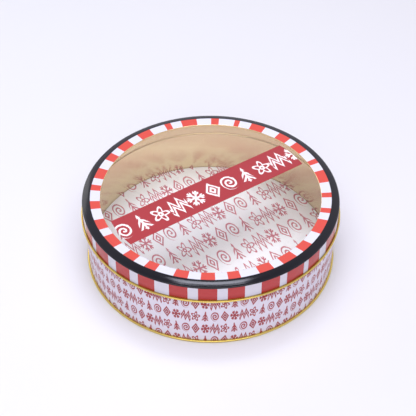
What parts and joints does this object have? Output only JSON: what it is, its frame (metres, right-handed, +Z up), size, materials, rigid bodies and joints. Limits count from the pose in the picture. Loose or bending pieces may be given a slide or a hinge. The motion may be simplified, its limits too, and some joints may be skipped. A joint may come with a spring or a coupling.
{
  "type": "window lid tin",
  "caption": "Round slip-lid tin of printed tinplate with a clear window in its lid, a banner across the window and a rolled foot.",
  "frame": {"origin": "on the table under the middle of the tin", "axes": "+Z up along the tin's axis, -Y towards the front of the picture, +X to the right"},
  "size_m": [0.19, 0.19, 0.0572],
  "materials": {
    "printed_tinplate": "off-white lacquer with a fine rose-red line print outside, gold lacquer inside",
    "gold_tinplate": "gold lacquered tinplate, its floor printed inside with rose-red line motifs on off-white",
    "striped_tinplate": "gloss printed red and white stripes, black shoulder, gold hem and lower curl",
    "clear_pane": "clear flat plastic film",
    "adhesive": "dull cream hot-melt",
    "banner_film": "semi-gloss red print with white motifs"
  },
  "bodies": {
    "tin": {"body_wall": "printed_tinplate", "base_panel": "gold_tinplate"},
    "lid": {"lid_shell": "striped_tinplate", "window_pane": "clear_pane", "window_adhesive": "adhesive", "window_banner": "banner_film"}
  },
  "joints": [
    {"name": "lid_lift", "type": "slide", "parent": "tin", "child": "lid", "axis": [0, 0, 1], "range_m": [0, 0.06]}
  ]
}
